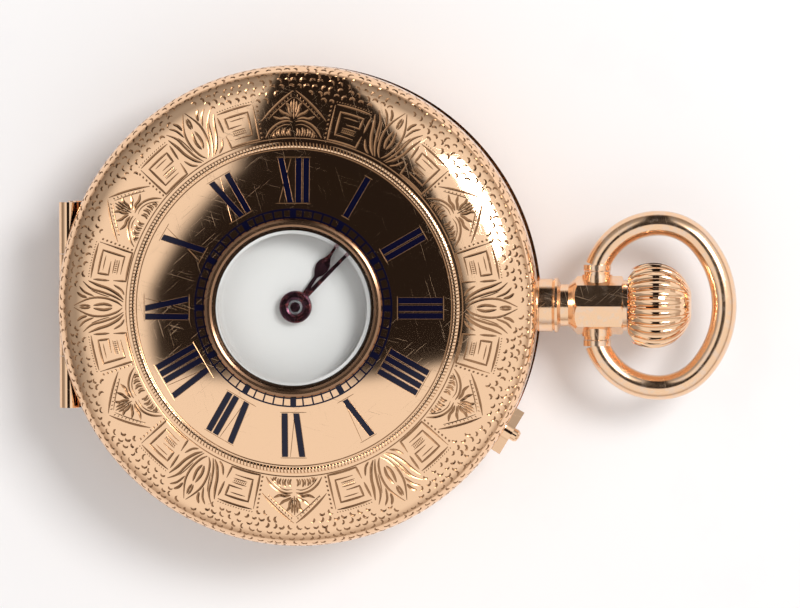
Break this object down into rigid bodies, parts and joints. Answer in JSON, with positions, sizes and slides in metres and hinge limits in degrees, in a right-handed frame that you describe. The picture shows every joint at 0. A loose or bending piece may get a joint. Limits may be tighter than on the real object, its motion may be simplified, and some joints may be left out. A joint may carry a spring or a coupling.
{
  "type": "half-hunter fob watch",
  "caption": "Gold half-hunter fob watch: engraved hinged cover with a small window and enamelled numerals, fluted winding crown, oval bow, and a full keyless lever movement inside.",
  "frame": {"origin": "centre of the flat of the back cover, on the surface the closed watch lies on", "axes": "+X from the dial's centre along the winding stem to the crown and bow, +Y towards twelve, +Z out of the dial"},
  "size_m": [0.0479, 0.034, 0.0119],
  "materials": {
    "gold": "polished rose gold",
    "pin_gold": "polished",
    "window_glass": "clear bevelled",
    "dial_glass": "clear",
    "enamel": "glossy vitreous enamel",
    "blued_hands": "blued steel",
    "steel": "polished steel",
    "gilt": "frosted gilding",
    "ruby": "polished jewel",
    "blued": "blued steel",
    "brass": "polished"
  },
  "bodies": {
    "case": {"case_band": "gold", "pendant": "gold", "set_pin_guard": "gold", "front_hinge_pin": "pin_gold", "back_hinge_pin": "pin_gold", "cuvette_hinge_pin": "pin_gold", "dial_bezel": "gold", "dial_crystal": "dial_glass", "dial": "enamel", "lift_spring": "steel", "main_plate": "gilt", "barrel_bridge": "gilt", "centre_bar": "gilt", "third_bar": "gilt", "fourth_bar": "gilt", "escape_bar": "gilt", "pallet_cock": "gilt", "balance_cock": "gilt", "plate_jewels": "ruby", "bar_jewels": "ruby", "bridge_screws": "blued", "case_screws": "blued", "crown_wheel_cap": "blued", "click_spring": "steel"},
    "front_cover": {"front_cover": "gold", "window_ring": "gold", "window_glass": "window_glass"},
    "back_cover": {"back_cover": "gold"},
    "cuvette": {"cuvette": "gold"},
    "bow": {"bow": "gold"},
    "winding_pinion": {"winding_pinion": "steel"},
    "crown": {"crown": "gold", "stem": "steel"},
    "sliding_clutch": {"sliding_clutch": "steel"},
    "set_pin": {"set_pin": "gold"},
    "yoke": {"yoke": "steel"},
    "lock_spring": {"lock_spring": "steel"},
    "crown_wheel": {"crown_wheel": "steel"},
    "barrel_arbor": {"barrel_arbor": "steel", "ratchet_wheel": "steel", "ratchet_screw": "blued"},
    "click": {"click": "steel"},
    "barrel": {"barrel": "brass", "barrel_lid": "brass", "mainspring": "steel"},
    "centre_wheel": {"centre_wheel": "brass"},
    "third_wheel": {"third_wheel": "brass"},
    "fourth_wheel": {"fourth_wheel": "brass"},
    "escape_wheel": {"escape_wheel": "steel"},
    "pallet_fork": {"pallet_fork": "steel"},
    "balance_wheel": {"balance_wheel": "brass", "hairspring": "blued"},
    "regulator": {"regulator": "steel"},
    "cannon_pinion": {"cannon_pinion": "steel", "minute_hand": "blued_hands"},
    "hour_wheel": {"hour_wheel": "brass", "hour_hand": "blued_hands"},
    "minute_wheel": {"minute_wheel": "brass"},
    "setting_wheel": {"setting_wheel": "steel"}
  },
  "joints": [
    {"name": "front_cover_open", "type": "hinge", "parent": "case", "child": "front_cover", "pos_m": [-0.01635, 0, 0.0076], "axis": [0, -1, 0], "range_deg": [0, 100]},
    {"name": "back_cover_open", "type": "hinge", "parent": "case", "child": "back_cover", "pos_m": [-0.01635, 0, 0.0034], "axis": [0, 1, 0], "range_deg": [0, 100]},
    {"name": "cuvette_open", "type": "hinge", "parent": "case", "child": "cuvette", "pos_m": [-0.0145, 0, 0.00287], "axis": [0, 1, 0], "range_deg": [0, 90]},
    {"name": "bow_turn", "type": "hinge", "parent": "case", "child": "bow", "pos_m": [0.02106, 0, 0.0055], "axis": [0, 1, 0], "range_deg": [-100, 100]},
    {"name": "crown_turn", "type": "hinge", "parent": "case", "child": "winding_pinion", "pos_m": [0.0107, 0, 0.0055], "axis": [1, 0, 0], "continuous": true},
    {"name": "crown_push", "type": "slide", "parent": "winding_pinion", "child": "crown", "axis": [-1, 0, 0], "range_m": [0, 0.0003], "stiffness_N_per_m": 2500, "springref_m": -0.0001},
    {"name": "clutch_shift", "type": "slide", "parent": "winding_pinion", "child": "sliding_clutch", "axis": [-1, 0, 0], "range_m": [0, 0.00079]},
    {"name": "set_pin_push", "type": "slide", "parent": "case", "child": "set_pin", "axis": [-0.8572, 0.515, 0], "range_m": [0, 0.00045], "stiffness_N_per_m": 1500, "springref_m": -0.0001},
    {"name": "yoke_swing", "type": "hinge", "parent": "case", "child": "yoke", "pos_m": [0.0058, -0.0106, 0.00654], "axis": [0, 0, 1], "range_deg": [0, 4.3]},
    {"name": "lock_spring_bend", "type": "hinge", "parent": "case", "child": "lock_spring", "pos_m": [0.01254, 0.00667, 0.00802], "axis": [0, 0, -1], "range_deg": [0, 2.2]},
    {"name": "crown_wheel_turn", "type": "hinge", "parent": "case", "child": "crown_wheel", "pos_m": [0.00745, 0, 0.00396], "axis": [0, 0, 1], "continuous": true},
    {"name": "ratchet_turn", "type": "hinge", "parent": "case", "child": "barrel_arbor", "pos_m": [0.0029, 0.00482, 0.00396], "axis": [0, 0, 1], "continuous": true},
    {"name": "click_lift", "type": "hinge", "parent": "case", "child": "click", "pos_m": [-0.0016, 0.00721, 0.00396], "axis": [0, 0, 1], "range_deg": [0, 7]},
    {"name": "barrel_turn", "type": "hinge", "parent": "case", "child": "barrel", "pos_m": [0.0029, 0.00482, 0.0055], "axis": [0, 0, 1], "continuous": true},
    {"name": "centre_wheel_turn", "type": "hinge", "parent": "case", "child": "centre_wheel", "pos_m": [0, 0, 0.0051], "axis": [0, 0, 1], "continuous": true},
    {"name": "third_wheel_turn", "type": "hinge", "parent": "case", "child": "third_wheel", "pos_m": [-0.00413, -0.00111, 0.0058], "axis": [0, 0, 1], "continuous": true},
    {"name": "train_run", "type": "hinge", "parent": "case", "child": "fourth_wheel", "pos_m": [-0.00232, -0.00424, 0.0055], "axis": [0, 0, 1], "continuous": true},
    {"name": "escape_wheel_turn", "type": "hinge", "parent": "case", "child": "escape_wheel", "pos_m": [-0.0002, -0.00676, 0.0058], "axis": [0, 0, 1], "continuous": true},
    {"name": "pallet_swing", "type": "hinge", "parent": "case", "child": "pallet_fork", "pos_m": [0.0023, -0.00632, 0.0058], "axis": [0, 0, 1], "range_deg": [-5.5, 5.5]},
    {"name": "balance_swing", "type": "hinge", "parent": "case", "child": "balance_wheel", "pos_m": [0.00532, -0.00579, 0.0044], "axis": [0, 0, 1], "range_deg": [-270, 270], "deforming": ["hairspring"]},
    {"name": "regulator_shift", "type": "hinge", "parent": "case", "child": "regulator", "pos_m": [0.00532, -0.00579, 0.00315], "axis": [0, 0, 1], "range_deg": [-25, 25]},
    {"name": "hands_turn", "type": "hinge", "parent": "case", "child": "cannon_pinion", "pos_m": [0, 0, 0.009], "axis": [0, 0, 1], "continuous": true},
    {"name": "hour_wheel_turn", "type": "hinge", "parent": "case", "child": "hour_wheel", "pos_m": [0, 0, 0.0085], "axis": [0, 0, 1], "continuous": true},
    {"name": "minute_wheel_turn", "type": "hinge", "parent": "case", "child": "minute_wheel", "pos_m": [0.00277, -0.0008, 0.0068], "axis": [0, 0, 1], "continuous": true},
    {"name": "setting_wheel_turn", "type": "hinge", "parent": "case", "child": "setting_wheel", "pos_m": [0.00603, 0, 0.0068], "axis": [0, 0, 1], "continuous": true}
  ],
  "couplings": [
    {"joint": "cuvette_open", "follows": "back_cover_open", "ratio": 0.9},
    {"joint": "clutch_shift", "follows": "set_pin_push", "ratio": 1.738},
    {"joint": "yoke_swing", "follows": "set_pin_push", "rad_per_m": 163.9},
    {"joint": "lock_spring_bend", "follows": "crown_push", "rad_per_m": 125},
    {"joint": "crown_wheel_turn", "follows": "crown_turn", "ratio": 0.47059},
    {"joint": "ratchet_turn", "follows": "crown_turn", "ratio": -0.36364},
    {"joint": "barrel_turn", "follows": "train_run", "ratio": -0.0020833},
    {"joint": "centre_wheel_turn", "follows": "train_run", "ratio": 0.016667},
    {"joint": "third_wheel_turn", "follows": "train_run", "ratio": -0.13333},
    {"joint": "escape_wheel_turn", "follows": "train_run", "ratio": -10},
    {"joint": "hour_wheel_turn", "follows": "hands_turn", "ratio": 0.083333},
    {"joint": "minute_wheel_turn", "follows": "hands_turn", "ratio": -0.33333},
    {"joint": "setting_wheel_turn", "follows": "hands_turn", "ratio": 0.6}
  ]
}
